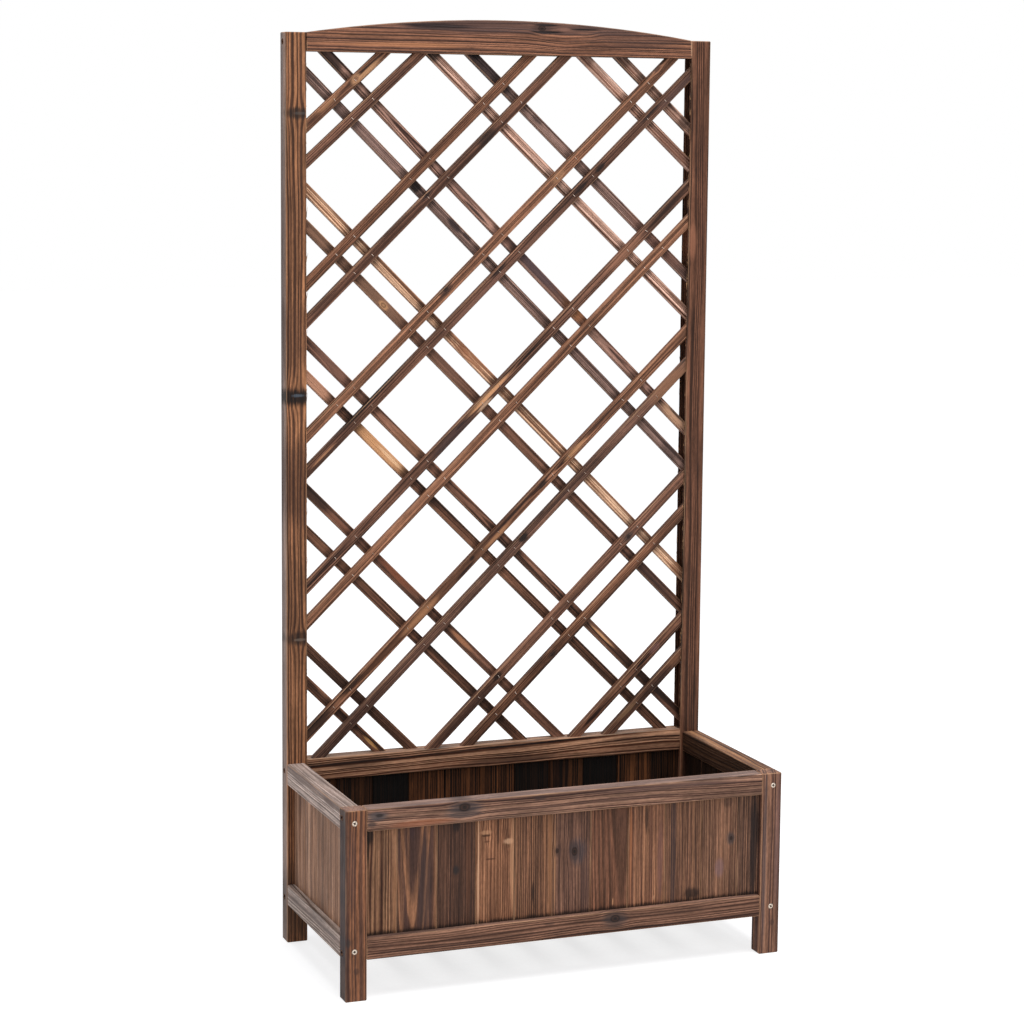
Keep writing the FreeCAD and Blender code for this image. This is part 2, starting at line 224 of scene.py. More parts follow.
def charred_fir(piece, along, depth, tones, rings=4.4, heart=(-25.0, 90.0), taper=0.0, wander=3.0,
                seed=1.0, scorch=0.35, knots=(), bends=(), marks=(), worn=0.6, faces=(), streak=0.42,
                fibre=0.46, fleck=0.24, shades=None, centre=None):
    """Flame-charred, wire-brushed fir on one node: matt, dark-lined and furry along the grain.

    Sizes are in mm from the middle of the piece, or from centre. along and depth are the way the
    grain runs and the way into the wood. tones are the late wood, the middle and the early wood.
    rings is the ring width, heart where the tree's middle lies (depth, across), taper how fast
    rings run out at the face, wander how far they sway. A knot is (along, across, radius), and a
    bend is where the grain parts round a branch that isn't dark. A mark is (along, across, half
    length, half width, colour, strength). A face is (direction, colour, strength). shades is
    (first seam, pitch, brightness per board) where one node holds several boards.
    """
    low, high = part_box(piece)
    across = along.cross(depth)
    turn = Matrix((along, depth, across)).transposed().to_euler()
    finish, tree = new_finish("charred_brushed_fir_" + piece)
    late, middle, early = [linear(tone) for tone in tones]

    place = add(tree, "TexCoord").outputs["Object"]
    facing = add(tree, "NewGeometry").outputs["Normal"]
    spot = add(tree, "Mapping", {
        "Vector": place, "Location": centre or (low + high) / 2, "Rotation": turn,
        "Scale": (MM, MM, MM)}, vector_type="TEXTURE")

    # Several boards in one node: each has its own grain and its own brightness. On the rear wall that
    # darkness is partly real charring, partly painted shade of the box's interior.
    board_tone = None
    if shades:
        seam, pitch, values = shades
        width_place = add(tree, "SeparateXYZ", (spot,)).outputs[2]
        board = add(tree, "Math", (width_place, 1 / pitch, -seam / pitch), "MULTIPLY_ADD")
        number = add(tree, "Math", (board,), "FLOOR")
        jump = add(tree, "Math", (number, BOARD_JUMP), "MULTIPLY")
        jump = add(tree, "CombineXYZ", (jump,))
        spot = add(tree, "VectorMath", (spot, jump), "ADD")
        level_stop = add(tree, "Math", (number, 1 / len(values), 0.5 / len(values)), "MULTIPLY_ADD")
        board_tone = add(tree, "ValToRGB", (level_stop,))
        board_tone.color_ramp.interpolation = "CONSTANT"
        steps = board_tone.color_ramp.elements
        while len(steps) < len(values):
            steps.new(1.0)
        for index, value in enumerate(values):
            steps[index].position = index / len(values)
            steps[index].color = (value, value, value, 1)
        # The face whose normal runs along depth takes each board's brightness in full, and the opposite
        # face keeps at least 0.45; on the rear wall this holds the painted shade to the face inside the
        # box.
        outside = add(tree, "VectorMath", (facing, depth), "DOT_PRODUCT")
        outside = add(tree, "MapRange", (outside, 0.5, -0.5, 0.0, 0.45))
        board_tone = add(tree, "VectorMath", (board_tone, outside), "MAXIMUM")

    # The grain parts and flows round each knot.
    flow = spot
    for u, w, radius in [*knots, *bends]:
        away = away_from(tree, spot, u, w, radius / PARTED[0], radius / PARTED[1])
        fade = add(tree, "Math", (away, 2.0), "POWER")
        fade = add(tree, "Math", (fade, -1.0), "MULTIPLY")
        fade = add(tree, "Math", (math.e, fade), "POWER")
        pinch = add(tree, "VectorMath", (spot, (u, 0, w)), "SUBTRACT")
        pinch = add(tree, "VectorMath", (pinch, (0, 0, -PINCH)), "MULTIPLY")
        pinch = add(tree, "VectorMath", {0: pinch, "Scale": fade}, "SCALE")
        flow = add(tree, "VectorMath", (flow, pinch), "ADD")

    # Growth rings round the heart of the tree, with a slow sway and a small wobble.
    sway = grain_noise(tree, flow, SWAY, (seed, seed * 1.7, 0), 1.0)
    wobble = grain_noise(tree, flow, WOBBLE, (0, seed * 2.3, seed), 1.0)
    reach = add(tree, "VectorMath", (flow, (0, *heart)), "SUBTRACT")
    reach = add(tree, "VectorMath", (reach, (0, 1, 1)), "MULTIPLY")
    reach = add(tree, "VectorMath", (reach,), "LENGTH")
    run = add(tree, "SeparateXYZ", (flow,))
    for source, amount in ((run, -taper), (sway, 2 * wander), (wobble, 0.22 * rings)):
        reach = add(tree, "Math", (source, amount, reach), "MULTIPLY_ADD")
    season = add(tree, "Math", (reach, 0.5 / rings, seed * 5.3), "MULTIPLY_ADD")
    season = add(tree, "TexNoise", {"W": season, "Scale": 1.0, "Detail": 0.0}, noise_dimensions="1D")
    count = add(tree, "Math", (season, 1.8), "MULTIPLY")
    count = add(tree, "Math", (reach, 1 / rings, count), "MULTIPLY_ADD")
    year = add(tree, "Math", (count,), "FRACT")
    year_name = add(tree, "Math", (count,), "FLOOR")
    plain_year = add(tree, "TexWhiteNoise", {"W": year_name}, noise_dimensions="1D")
    growth = add(tree, "ValToRGB", (year,))
    stops = growth.color_ramp.elements
    stops[0].color = middle
    stops[1].color = middle
    for position, tone in ((0.12, early), (0.40, early), (0.62, middle), (0.78, late), (0.93, late)):
        stops.new(position).color = tone
    boldness = add(tree, "Math", (plain_year, 0.6, 0.4), "MULTIPLY_ADD")
    colour = add(tree, "Mix", {0: boldness, 6: middle, 7: growth}, data_type="RGBA")

    # Streaks along the grain, darker or paler than the rest.
    broad = grain_noise(tree, spot, STREAKS, (seed * 3, 0, seed), 3.0)
    for least, most, tone in ((0.50, 0.66, late), (0.46, 0.32, early)):
        share = add(tree, "MapRange", (broad, least, most, 0.0, streak), interpolation_type="SMOOTHSTEP")
        colour = add(tree, "Mix", {0: share, 6: colour, 7: tone}, data_type="RGBA")

    # Faces laid paler, greyer or darker by the way they face: painted light from above, painted sheen on
    # faces toward the bright left, and painted shade on faces inside the box.
    for direction, tone, amount in faces:
        toward = add(tree, "VectorMath", (facing, direction), "DOT_PRODUCT")
        toward = add(tree, "MapRange", (toward, 0.75, 0.95, 0.0, amount))
        colour = add(tree, "Mix", {0: toward, 6: colour, 7: linear(tone)}, data_type="RGBA")

    # Brushed fibres and flecks, then where the flame stayed longer. Its edge follows the fibres.
    fine = grain_noise(tree, spot, FIBRES, (seed, seed, 0), 2.0, 0.6)
    flecks = grain_noise(tree, spot, FLECKS, (0, seed, 0), 2.0)
    burn = grain_noise(tree, spot, FLAME, (0, seed, seed * 2), 4.0, 0.62)
    tide = grain_noise(tree, spot, TIDE, (seed * 2, 0, seed), 3.0, 0.6)
    burnt = add(tree, "Math", (fine, 0.30, burn), "MULTIPLY_ADD")
    for source, least, most, dark, light, blend in (
            (fine, 0.28, 0.72, 1 - fibre, 1 + fibre, "LINEAR"),
            (flecks, 0.25, 0.75, 1 - fleck, 1 + fleck, "LINEAR"),
            (burnt, 0.66, 0.90, 1.0, 1 - scorch, "SMOOTHSTEP"),
            (tide, 0.3, 0.7, 0.78, 1.22, "LINEAR")):
        shade = add(tree, "MapRange", (source, least, most, dark, light), interpolation_type=blend)
        colour = add(tree, "VectorMath", {0: colour, "Scale": shade}, "SCALE")
    if board_tone:
        colour = add(tree, "VectorMath", (colour, board_tone), "MULTIPLY")

    # Marks and knots. A ragged edge comes from the fibres and the flame.
    ragged = add(tree, "Math", (burn, fine), "ADD")
    ragged = add(tree, "Math", (ragged, 0.9, -0.9), "MULTIPLY_ADD")
    halos = [(u, w, radius * HALO[0], radius * HALO[1], KNOT_SOOT, 0.5) for u, w, radius in knots]
    for u, w, half_long, half_wide, tone, amount in [*marks, *halos]:
        away = away_from(tree, spot, u, w, half_long, half_wide)
        away = add(tree, "Math", (away, ragged), "ADD")
        cover = add(tree, "MapRange", (away, *MARK_EDGE, 0.0, amount), interpolation_type="SMOOTHSTEP")
        colour = add(tree, "Mix", {0: cover, 6: colour, 7: linear(tone)}, data_type="RGBA")
    for u, w, radius in knots:
        away = away_from(tree, spot, u, w, radius / KNOT_LENGTH, radius)
        away = add(tree, "Math", (ragged, 0.4, away), "MULTIPLY_ADD")
        disc = add(tree, "ValToRGB", (away,))
        disc.color_ramp.elements[1].color = (0, 0, 0, 0)
        disc.color_ramp.elements[0].color = linear(KNOT_STOPS[0][1], 0.9)
        for position, tone in KNOT_STOPS[1:]:
            cover = 0.9 if position < 0.9 else 0.6
            disc.color_ramp.elements.new(position).color = linear(tone, cover)
        colour = add(tree, "Mix", {
            0: disc.outputs["Alpha"], 6: colour, 7: disc.outputs["Color"]}, data_type="RGBA")

    # Rubbed edges. On a flat face the normal lies along one of the piece's own directions.
    own = add(tree, "VectorRotate", {
        "Vector": facing, "Rotation": turn}, rotation_type="EULER_XYZ", invert=True)
    own = add(tree, "VectorMath", (own,), "ABSOLUTE")
    sides = add(tree, "SeparateXYZ", (own,)).outputs
    flatness = add(tree, "Math", (sides[1], sides[2]), "MAXIMUM")
    flatness = add(tree, "Math", (flatness, sides[0]), "MAXIMUM")
    rubbed = add(tree, "MapRange", (flatness, *EDGE_FACING, 0.0, worn))
    patchy = add(tree, "MapRange", (burn, 0.60, 0.40, 0.1, 1.0))
    rubbed = add(tree, "Math", (rubbed, patchy), "MULTIPLY")
    colour = add(tree, "Mix", {0: rubbed, 6: colour, 7: linear(WORN)}, data_type="RGBA")

    # Relief: the late wood stands proud of the brushed early wood, and the fibres are torn.
    ridge = add(tree, "MapRange", (year, 0.45, 0.80), interpolation_type="SMOOTHSTEP")
    drop = add(tree, "MapRange", (year, 0.93, 1.0, 1.0, 0.0), interpolation_type="SMOOTHSTEP")
    ridge = add(tree, "Math", (ridge, drop), "MULTIPLY")
    height = add(tree, "Math", (fine, 0.9, ridge), "MULTIPLY_ADD")
    bump = add(tree, "Bump", {"Strength": 0.8, "Distance": RELIEF, "Height": height})
    gloss = add(tree, "MapRange", (ragged, -0.3, 0.3, 0.78, 0.55))
    skin = add(tree, "BsdfPrincipled", {
        "Base Color": colour, "Roughness": gloss, "Normal": bump, "Specular IOR Level": 0.18})
    add(tree, "OutputMaterial", {"Surface": skin})
    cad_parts[piece].data.materials.clear()
    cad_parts[piece].data.materials.append(finish)


# Its left face is laid grey: painted sheen, the bright surroundings on that side glancing off it.
charred_fir("rear_left_post", Z, -Y, ("2b1d15", "6d4732", "b87f57"), rings=4.6, heart=(-30, -85),
    wander=4, seed=1.3, scorch=0.35, faces=((-X, "8f8580", 0.62),), bends=((131, 6, 7), (497, 4, 5),
    (-188, 4, 5)), marks=((131, 0, 13, 30, "120e0d", 0.95), (133, 2, 2.5, 9, "56606a", 0.6),
    (497, 2, 8, 16, "211c1a", 0.8), (497, 5, 2, 8, "59544f", 0.4), (-188, 3, 10, 22, "211916", 0.75),
    (-190, 3, 2, 9, "77685c", 0.5), (20, 0, 70, 30, "35211a", 0.6), (210, 0, 60, 30, "35211a", 0.5),
    (330, -6, 90, 14, "3a251b", 0.35), (0, 17, 900, 3.5, "35221a", 0.6),
    (-545, 0, 60, 30, "2c2119", 0.6)))
charred_fir("rear_right_post", Z, -Y, ("24150d", "4c3023", "7f543e"), rings=4.4, heart=(-35, 80),
    wander=5, seed=7.9, scorch=0.45, marks=((330, -8, 24, 6, "a06a50", 0.5),))

# ---- Front posts ----
# Two short posts from the same stock, screwed to the rails through their front and outer faces.

# Its left face is laid greyer, a painted sheen, and its top paler, painted light from above.
charred_fir("front_left_post", Z, -Y, ("482e25", "6a4836", "915f41"), rings=5.6, heart=(-25, 70),
    wander=4, seed=3.1, scorch=0.5, faces=((-X, "5b4a41", 0.8), (Z, "a08478", 0.5)),
    marks=((95, -16, 26, 3.2, "221b1a", 0.9), (10, -16, 20, 3, "2b2320", 0.85),
    (-60, -16, 30, 3, "2a211e", 0.85), (-46, -11, 7, 5, "34302f", 0.75), (-83, 0, 5, 4, "3a2c27", 0.6),
    (40, -6, 60, 5, "4c3a38", 0.4), (-130, -17, 60, 4, "211a19", 0.8),
    (0, -13, 150, 2.5, "33262a", 0.55), (60, -17, 30, 5, "2a2321", 0.6)))
charred_fir("front_right_post", Z, -Y, ("3c2925", "6a493a", "9f745b"), rings=5, heart=(-30, -80),
    wander=4, seed=5.6, marks=((-80, 4, 5, 4, "3a2a26", 0.6), (0, -9, 130, 3, "544a4c", 0.5),
    (20, 9, 100, 4, "6a5254", 0.4)))

# ---- Rails of the box ----
# Eight rails butted between the posts. The late wood runs their whole length in fine dark lines.

# Its top face is laid paler and greyer: painted light from above.
charred_fir("front_top_rail", X, Y, ("271612", "5f4034", "9f7962"), rings=3.4, heart=(-40, 60),
    taper=0.012, wander=7, seed=11.2, scorch=0.45, faces=((Z, "8e7a73", 0.5),), knots=((-144, 6, 6.0),),
    marks=((-144, 3, 26, 12, "565050", 0.55), (-258, 4, 16, 7, "4a4546", 0.8),
    (-256, 5, 6, 3, "221d1d", 0.8), (-266, -5, 7, 4, "38302f", 0.75), (-42, 9, 9, 3, "3a2b28", 0.7),
    (-200, -9, 44, 4, "9c5c3c", 0.5), (150, 9, 120, 4, "6a5048", 0.5), (60, -2, 90, 3, "46302a", 0.5),
    (-60, -3, 70, 3, "4a332c", 0.4)))
# Its top face is laid paler and greyer: painted light from above.
charred_fir("front_bottom_rail", X, Y, ("2a1710", "624233", "966e58"), rings=3.6, heart=(-40, -60),
    taper=0.01, wander=6, seed=13.7, scorch=0.4, faces=((Z, "8a6e62", 0.4),), knots=((64, 4.5, 5.5),),
    marks=((64, 3, 20, 11, "4c4443", 0.5), (-28, 7, 8, 2, "33241f", 0.6),
    (-180, -6, 70, 3, "3e2a22", 0.5)))
# Its top face is laid a paler tan: partly worn wood, partly painted light from above.
charred_fir("rear_top_rail", X, Y, ("150906", "613926", "b98a6b"), rings=4.6, heart=(-30, -48),
    taper=0.012, wander=9, seed=17.3, scorch=0.55, faces=((Z, "a98a74", 0.5),),
    marks=((-200, 4, 50, 6, "241611", 0.6), (30, -8, 90, 4, "2a1912", 0.55),
    (190, 6, 60, 4, "2e1c14", 0.5)))
charred_fir("rear_bottom_rail", X, Y, ("33231b", "62422f", "8c6044"), rings=4.6, heart=(30, 60),
    seed=19.1)
# The left rails are laid grey all over, a painted sheen from the bright surroundings on the left; the
# top rail's top face has its own grey, also painted light.
charred_fir("left_top_rail", Y, -X, ("695850", "a08b80", "cbb9ae"), rings=4.2, heart=(-35, 50), wander=6,
    seed=23.4, scorch=0.35, faces=((Z, "7d6a61", 0.55),), marks=((60, 4, 30, 5, "6c5850", 0.5),
    (-70, 8, 26, 5, "5f4c44", 0.5)))
charred_fir("left_bottom_rail", Y, -X, ("534237", "917d74", "bfac9e"), rings=4.2, heart=(-30, -50),
    wander=6, seed=29.8, scorch=0.3)
# Its inner face, toward -X, is laid dark brown: painted shade inside the box.
charred_fir("right_top_rail", Y, X, ("38261d", "6a4936", "9c7150"), rings=4.6, heart=(-30, 50), wander=6,
    seed=31.5, scorch=0.4, faces=((-X, "2c1b12", 0.7),))
charred_fir("right_bottom_rail", Y, X, ("34241c", "6a4937", "90664a"), rings=4.6, heart=(-30, -50),
    wander=6, seed=37.2, scorch=0.4)

# ---- Arched rail ----
# Cut from a wider board: straight grain below, and under the arch the flat-sawn part, where the
# rings run out in long dark eyes round a knot.

# The pale line at its right end, along 271 mm, is a painted highlight on the rail's end.
charred_fir("arch_rail", X, Y, ("2c1b15", "644131", "99684d"), rings=4, heart=(-10, 15), taper=0.008,
    wander=3, seed=41, scorch=0.4, knots=((52, 13, 4.2),), bends=((82, 15, 9), (118, 13, 5)),
    marks=((20, 17, 300, 13, "513d38", 0.8), (-95, 13, 52, 4, "231a1a", 0.85),
    (58, 17.5, 22, 1.6, "120c0c", 1.0), (58, 8.5, 24, 1.6, "120c0c", 1.0),
    (116, 13, 26, 1.6, "120c0c", 1.0), (84, 12.5, 10, 2.6, "7d5a4c", 0.8),
    (190, 6, 90, 16, "4a3630", 0.5), (-150, -12, 110, 3, "bd8058", 0.45),
    (271, -4, 1.6, 18, "c39a7c", 0.6)))

# ---- Front wall boards ----
# Eleven tongue-and-groove boards, each from its own plank, so each has its own tone and figure.

FOOT_SHADE = (-71, 0, 8, 90, "180f0b", 0.85)      # painted contact shade above the rail below
HEAD_SHADE = (71, 0, 5, 90, "2a1c16", 0.6)        # and painted contact shade below the rail above


def front_board(number, tones, heart=(-30, 90), marks=(), **figure):
    """One board of the front wall, counted from the left."""
    name = "front_board_%02d" % number
    charred_fir(name, Z, -Y, tones, heart=heart, marks=[HEAD_SHADE, FOOT_SHADE, *marks], **figure)


front_board(1, ("372015", "6a4735", "9a7152"), rings=5.2, heart=(-30, 60), wander=6, seed=51,
    marks=((52, -17, 34, 3.5, "16100d", 0.8), (60, -14, 12, 6, "16100d", 0.8),
    (20, 6, 60, 3, "33211a", 0.5), (-20, 20, 60, 4, "8c5f40", 0.4)))
front_board(2, ("95674a", "54392e", "49322b"), rings=9.5, heart=(-9, -8), taper=0.05, wander=3,
    seed=52.3, marks=((-20, 8, 80, 10, "41322f", 0.6), (0, 24, 80, 2.5, "8a5c40", 0.5),
    (62, -8, 14, 4, "39292a", 0.6)))
front_board(3, ("2e1e1a", "4c3327", "6a4938"), rings=2.6, seed=53.7,
    marks=((5, -2, 7, 5, "272323", 0.85), (62, -2, 9, 6, "231b19", 0.8), (0, 14, 80, 4, "6a4430", 0.45)))
front_board(4, ("583624", "774f39", "a17152"), rings=2.9, heart=(-30, -90), seed=54.9, scorch=0.2,
    bends=((38, 18, 4), (46, -13, 3)), marks=((46, -14, 1.8, 7, "3c2419", 0.8),
    (38, -13, 1.4, 4, "4a2d20", 0.6), (15, -8, 1.4, 8, "4a2e22", 0.7), (50, -15, 3, 9, "c99770", 0.5),
    (36, 16, 4, 8, "d3a581", 0.6), (26, 18, 2, 5, "8a5c42", 0.5), (50, 2, 26, 1.3, "33201a", 0.8),
    (0, -24.5, 80, 1.3, "d9a884", 0.8), (10, 22, 60, 4, "c08e6a", 0.55)))
front_board(5, ("281913", "5e3f30", "986a4c"), rings=2.8, seed=55.1,
    marks=((-34, -2, 16, 2, "221612", 0.85), (0, 22, 70, 4, "9c6c4a", 0.6)))
front_board(6, ("412d26", "634538", "7f5b48"), rings=3.6, heart=(-26, -60), wander=4, seed=56.4,
    knots=((14, 2, 4.4), (17, -22, 2.6)), marks=((14, 6, 20, 13, "434146", 0.5),
    (0, -25, 80, 1.2, "b5835e", 0.7), (-30, 16, 40, 6, "4e3a36", 0.4)))
front_board(7, ("4a3022", "624131", "7f543e"), rings=5, heart=(-14, 14), taper=0.03, wander=4, seed=57.8,
    marks=((-58, 4, 5, 0.8, "c69068", 0.8),))
front_board(8, ("4a2e20", "764f3d", "a27253"), rings=3, heart=(-30, -90), seed=58.2, scorch=0.2,
    marks=((50, -2, 22, 3, "33221c", 0.8), (-10, 18, 60, 4, "6e4c48", 0.5),
    (20, -24, 80, 2, "b3724a", 0.5), (-58, 10, 4, 0.7, "c99a76", 0.8)))
front_board(9, ("3b271e", "634335", "8d6449"), rings=2.8, seed=59.5,
    marks=((0, -16, 160, 4, "33292a", 0.7), (-58, 12, 9, 14, "1a1210", 0.8)))
front_board(10, ("4a3228", "77523e", "926b52"), rings=2.8, heart=(-30, -90), seed=60.6, scorch=0.25,
    knots=((11, 15, 2.2),), marks=((11, 15, 10, 8, "4a4240", 0.65), (-28, -2, 14, 7, "7d6265", 0.5),
    (60, 10, 8, 8, "3d2c26", 0.5)))
# Its right part is dark partly from charring, partly from painted shade beside the right post.
front_board(11, ("31211a", "65483b", "9b7056"), rings=3, seed=61.9, scorch=0.45,
    marks=((0, 6, 90, 7, "262020", 0.85), (0, -12, 80, 2, "33241d", 0.7)))

# ---- Rear and side wall boards ----
# The same boards in the other walls. The rear ones show their inner faces, some burnt black, all
# darkened further with painted shade of the box's interior; the right wall's inner face is painted shade
# too.

# The per-board darkness on the inner faces is partly charring, partly painted shade inside the box.
charred_fir("rear_boards", Z, -Y, ("050505", "341a0d", "84512f"), rings=3.4, heart=(-30, 90), seed=71,
    scorch=0.6, worn=0, shades=(-230.1 - 51.1, 51.1,
    (0.45, 0.25, 0.03, 0.75, 0.6, 0.65, 0.06, 0.4, 0.03, 0.8, 0.25)))
charred_fir("left_boards", Z, X, ("492e1f", "845d45", "b58c71"), rings=3.6, heart=(-30, 90), seed=73,
    scorch=0.3, shades=(-89.6 - 52.4, 52.4, (0.9, 1.0, 0.94, 1.02, 1.0, 1.0)))
# The right boards' inner face, toward -X, is laid nearly black: painted shade inside the box.
charred_fir("right_boards", Z, X, ("3f2b22", "6a4a39", "90664a"), rings=3.6, heart=(-30, 90), seed=79,
    scorch=0.4, worn=0, faces=((-X, "120c09", 0.88),), shades=(-89.6 - 52.4, 52.4,
    (0.9, 1.0, 0.8, 1.05, 0.9, 1.0)))

# ---- Floor of the box ----
# Loose boards across two cleats, with gaps for the water. Rougher stock, charred all over.

charred_fir("floor_boards", Y, -Z, ("1a1210", "3c2a22", "5a4032"), heart=(-30, 20), seed=83, scorch=0.6)
for name, seed in (("front_floor_cleat", 87.0), ("rear_floor_cleat", 89.0)):
    charred_fir(name, X, Y, ("1d1411", "45301f", "644630"), heart=(-30, 40), seed=seed, scorch=0.5)

# ---- Lattice slats ----
# Two layers of thin slats with eased edges. Each is ripped from another board, so tan, plum and
# nearly black ones lie side by side; some are flat-sawn and show long dark eyes.

SLAT_TONES = {
    "walnut": ("180d08", "4d3022", "855b45"),
    "soot": ("241410", "52382d", "85604e"),
    "umber": ("22130c", "56382a", "906550"),
    "russet": ("26140d", "5b3b29", "9b694e"),
    "chestnut": ("2f1a11", "63412e", "a47256"),
    "plum": ("271815", "634a41", "a38275"),
    "mauve": ("281813", "6f4d40", "b48a78"),
    "blush": ("3a2118", "9a6b56", "ecc2ac"),
    "tan": ("4a2a1a", "b98564", "f8cea9"),
}
FLAT_SAWN = (-8.0, 1.0)
QUARTER_SAWN = (-20.0, 60.0)
FRONT_SLATS = 14
CROSSING_SHADE = (16, 30, "1c120d", 0.6)     # painted shade on a rear slat beside each front one that crosses it


def slat_direction(piece):
    """The way a slat runs, from the largest faces along its edges."""
    edge_faces = [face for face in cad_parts[piece].data.polygons if abs(face.normal.y) < 0.01]
    direction = max(edge_faces, key=lambda face: face.area).normal.cross(Y)
    return direction * math.copysign(1.0, direction.x)


def slat_middle(piece):
    """The middle of a slat's centre line."""
    corners = [corner.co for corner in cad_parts[piece].data.vertices]
    return sum(corners, Vector()) / len(corners)


def crossings(piece):
    """Where the front slats cross a rear slat, in mm along it from its middle."""
    way = slat_direction(piece)
    places = []
    for number in range(1, FRONT_SLATS + 1):
        other = "lattice_front_slat_%02d" % number
        other_way = slat_direction(other)
        apart = slat_middle(other) - slat_middle(piece)
        place = apart.cross(other_way).y / way.cross(other_way).y
        reach = (way * place - apart).dot(other_way)
        low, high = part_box(other)
        if abs(reach) < (high - low).length / 2:
            places.append(place / MM)
    return places


def slat(layer, number, finish, heart=QUARTER_SAWN, rings=2.5, wander=3.0, taper=0.0, knots=(), bends=(),
         marks=()):
    """One slat of the front or rear layer, counted from the lowest."""
    name = "lattice_%s_slat_%02d" % (layer, number)
    # Rear slats get painted shade beside each front slat that crosses them.
    soot = [(place, 0, *CROSSING_SHADE) for place in crossings(name)] if layer == "rear" else []
    charred_fir(name, slat_direction(name), Y, SLAT_TONES[finish], rings=rings, heart=heart, taper=taper,
        wander=wander, seed=number * 7.3 + (300 if layer == "rear" else 100), scorch=0.5, knots=knots,
        bends=bends, marks=[*marks, *soot], streak=0.6, fibre=0.34, fleck=0.22, centre=slat_middle(name))


slat("front", 1, "walnut", marks=((-35, 3, 22, 3, "8c6a4c", 0.6), (20, 0, 30, 9, "221510", 0.5),
    (62, 2, 10, 6, "7a5138", 0.5)))
slat("front", 2, "walnut", FLAT_SAWN, taper=0.02, bends=((-72, 0, 4),),
    marks=((-72, 0, 22, 3, "26160f", 0.7), (-20, 3, 24, 3, "8c6248", 0.5), (55, 1, 10, 5, "86605a", 0.4),
    (10, -3, 20, 3, "26160f", 0.5)))
slat("front", 3, "russet", knots=((-50, -1, 2.8),), marks=((190, 0, 40, 8, "38241a", 0.4),))
slat("front", 4, "umber", knots=((140, 0, 2.4),), marks=((-190, 0, 75, 14, "23150f", 0.65),
    (-125, 2, 8, 5, "150d0b", 0.8), (140, 0, 12, 8, "4a403a", 0.5), (40, 3, 50, 4, "8a6048", 0.4)))
slat("front", 5, "soot", marks=((36, 1, 9, 6, "16110f", 0.9), (335, 0, 42, 12, "94684c", 0.6),
    (-280, 0, 60, 12, "3a241b", 0.4)))
slat("front", 6, "chestnut", FLAT_SAWN, rings=3.6, wander=6.0, taper=0.02, bends=((-50, -2, 6),
    (50, 0, 5)), marks=((-345, 1, 42, 8, "1d1310", 0.85), (-270, 4, 24, 4, "1d1310", 0.8),
    (-52, -3, 24, 2.4, "231410", 0.9), (50, 3, 60, 2.0, "231410", 0.85),
    (60, -3, 40, 1.6, "3a2218", 0.7), (105, 1, 9, 4, "1d1310", 0.85), (-35, 2, 5, 3, "1d1310", 0.85),
    (232, 3, 44, 1.8, "2b1913", 0.85), (240, -2, 36, 1.6, "3a2218", 0.7),
    (-140, 0, 40, 5, "c48c62", 0.5), (10, -2, 30, 3, "c48c62", 0.5), (170, 1, 24, 4, "c89468", 0.5)))
slat("front", 7, "chestnut", rings=2.7)
slat("front", 8, "umber", FLAT_SAWN, taper=0.015, marks=((-2, 2, 46, 3, "d49c70", 0.85),
    (-85, -3, 44, 9, "33292a", 0.7), (-330, 2, 60, 4, "1d1310", 0.65), (-20, -4, 14, 3, "d8b090", 0.5),
    (260, 0, 40, 8, "94664e", 0.5), (340, 0, 40, 12, "2a1c17", 0.6)))
slat("front", 9, "umber", marks=((-20, 3, 18, 3, "1d1412", 0.9), (140, 1, 14, 4, "1d1412", 0.8),
    (180, 1, 10, 3.5, "1d1412", 0.9), (285, 3, 26, 2.5, "1d1412", 0.9),
    (-270, 6, 80, 2.5, "140d0c", 0.9), (-360, 0, 25, 1.5, "b98460", 0.7),
    (-60, -3, 70, 4, "8c6454", 0.5), (60, -3, 60, 4, "86604f", 0.5), (330, -2, 40, 6, "4c3a37", 0.5)))
slat("front", 10, "chestnut", knots=((-90, 4, 3.0),), bends=((330, 4, 3),),
    marks=((-90, 3, 14, 5, "2a1c1a", 0.6), (330, 5, 8, 3, "2e2020", 0.7),
    (128, 0, 14, 6, "b98a64", 0.4)))
slat("front", 11, "umber", knots=((-18, 4, 3),), marks=((95, 0, 18, 9, "221714", 0.75),
    (-215, 2, 30, 5, "2c1d18", 0.5), (160, 3, 50, 3, "8c5f48", 0.5)))
slat("front", 12, "russet")
slat("front", 13, "umber", marks=((90, 3, 24, 3, "94684f", 0.5),))
slat("front", 14, "chestnut", FLAT_SAWN, bends=((21, 1, 4),), marks=((40, -2, 30, 4, "c8966c", 0.7),
    (21, 1, 11, 6.5, "b98964", 0.85), (21, 1, 4.6, 3.6, "3b271d", 0.85),
    (21, 1, 3.0, 2.2, "a5765a", 0.9), (21, 1, 1.2, 0.9, "33221a", 0.9), (-30, 2, 24, 3, "c08a62", 0.4),
    (-55, 0, 12, 9, "4a2e22", 0.5)))

slat("rear", 1, "walnut", marks=((60, 0, 14, 2, "c8965e", 0.8), (-30, 3, 20, 3, "7d5640", 0.6),
    (0, -2, 20, 3, "1b100b", 0.6)))
slat("rear", 2, "walnut", marks=((0, 0, 120, 12, "26170f", 0.35),))
slat("rear", 3, "walnut", marks=((-150, 2, 60, 4, "80573f", 0.5), (150, 0, 60, 14, "23150f", 0.5)))
slat("rear", 4, "umber", marks=((55, 1, 22, 3.5, "b27a58", 0.8), (-80, 2, 40, 5, "8c5238", 0.65),
    (-235, 0, 30, 12, "1d1412", 0.75), (-180, -1, 30, 3, "80503a", 0.5)))
slat("rear", 5, "walnut", marks=((-345, 0, 34, 16, "c08c70", 0.85), (-222, 0, 50, 16, "d0996c", 0.92),
    (-200, 1, 24, 3, "ecc096", 0.7), (-120, 0, 20, 14, "33211a", 0.5)))
